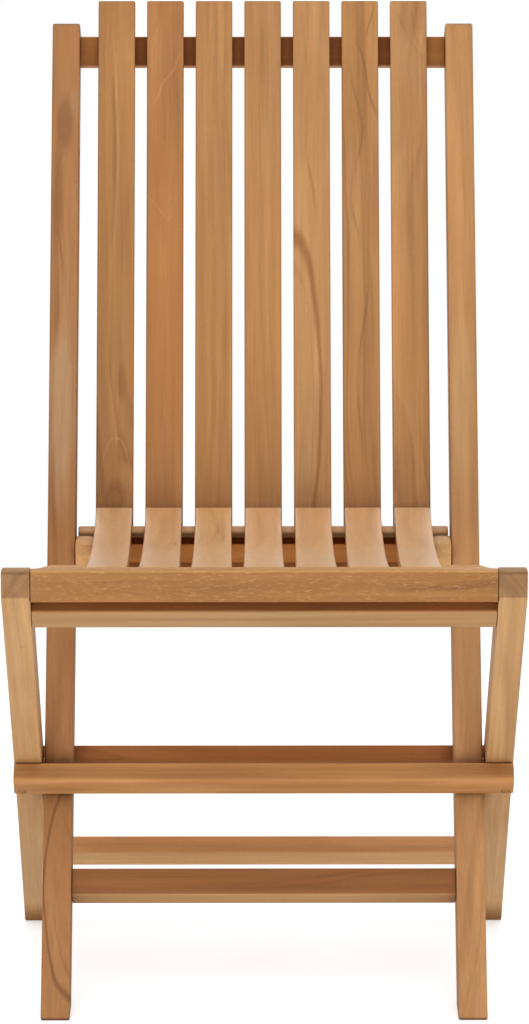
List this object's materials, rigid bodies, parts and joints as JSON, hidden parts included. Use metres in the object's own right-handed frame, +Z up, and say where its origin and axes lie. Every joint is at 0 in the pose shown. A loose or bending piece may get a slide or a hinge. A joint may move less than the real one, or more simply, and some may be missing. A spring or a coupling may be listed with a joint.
{
  "type": "folding teak chair",
  "caption": "Folding slatted teak chair without arms: curved back slats on bent posts, a dished slat seat and rear legs that cross the posts on bolts and fold flat against them",
  "frame": {"origin": "on the floor, at the middle of the chair's width and depth when it stands open", "axes": "+Z up, +Y to the rear of the chair, +X to the left of someone who sits in it, which is the viewer's right when the chair is seen from the front"},
  "size_m": [0.49, 0.6258, 0.9169],
  "materials": {
    "stile": "sanded teak, oiled, light brown with a fine straight grain",
    "leg": "sanded teak, paler honey brown",
    "rail": "sanded teak, reddish brown",
    "back_slat": "sanded teak strips, each with its own tone and grain",
    "seat_slat": "sanded teak strips with a soft satin sheen",
    "plug": "darker teak plugs, end grain out",
    "brass": "satin brass"
  },
  "bodies": {
    "back_frame": {"back_slat_1": "back_slat", "back_slat_2": "back_slat", "back_slat_3": "back_slat", "back_slat_4": "back_slat", "back_slat_5": "back_slat", "back_slat_6": "back_slat", "back_slat_7": "back_slat", "front_stretcher": "rail", "lower_back_rail": "rail", "pivot_bolt_left": "brass", "pivot_bolt_right": "brass", "pivot_nut_left": "brass", "pivot_nut_right": "brass", "pivot_washer_left": "brass", "pivot_washer_right": "brass", "stile_left": "stile", "stile_right": "stile", "top_rail": "rail"},
    "leg_frame": {"front_stop_batten": "rail", "front_stop_batten_plug_left": "plug", "front_stop_batten_plug_right": "plug", "leg_top_rail": "rail", "rear_leg_left": "leg", "rear_leg_right": "leg", "rear_stop_batten": "rail", "rear_stop_batten_plug_left": "plug", "rear_stop_batten_plug_right": "plug", "rear_stretcher": "rail", "seat_hinge_pin_left": "brass", "seat_hinge_pin_right": "brass"},
    "seat": {"seat_cross_rail": "rail", "seat_front_rail": "rail", "seat_side_rail_left": "rail", "seat_side_rail_right": "rail", "seat_slat_1": "seat_slat", "seat_slat_2": "seat_slat", "seat_slat_3": "seat_slat", "seat_slat_4": "seat_slat", "seat_slat_5": "seat_slat", "seat_slat_6": "seat_slat", "seat_slat_7": "seat_slat", "seat_slide_pin_left": "brass", "seat_slide_pin_right": "brass", "seat_tie_batten": "rail"}
  },
  "joints": [
    {"name": "leg_fold", "type": "hinge", "parent": "back_frame", "child": "leg_frame", "pos_m": [0, -0.08069, 0.2058], "axis": [-1, 0, 0], "range_deg": [0, 64]},
    {"name": "seat_fold", "type": "hinge", "parent": "leg_frame", "child": "seat", "pos_m": [0, -0.29931, 0.4467], "axis": [1, 0, 0], "range_deg": [0, 128]}
  ],
  "couplings": [
    {"joint": "seat_fold", "follows": "leg_fold", "ratio": 2}
  ]
}
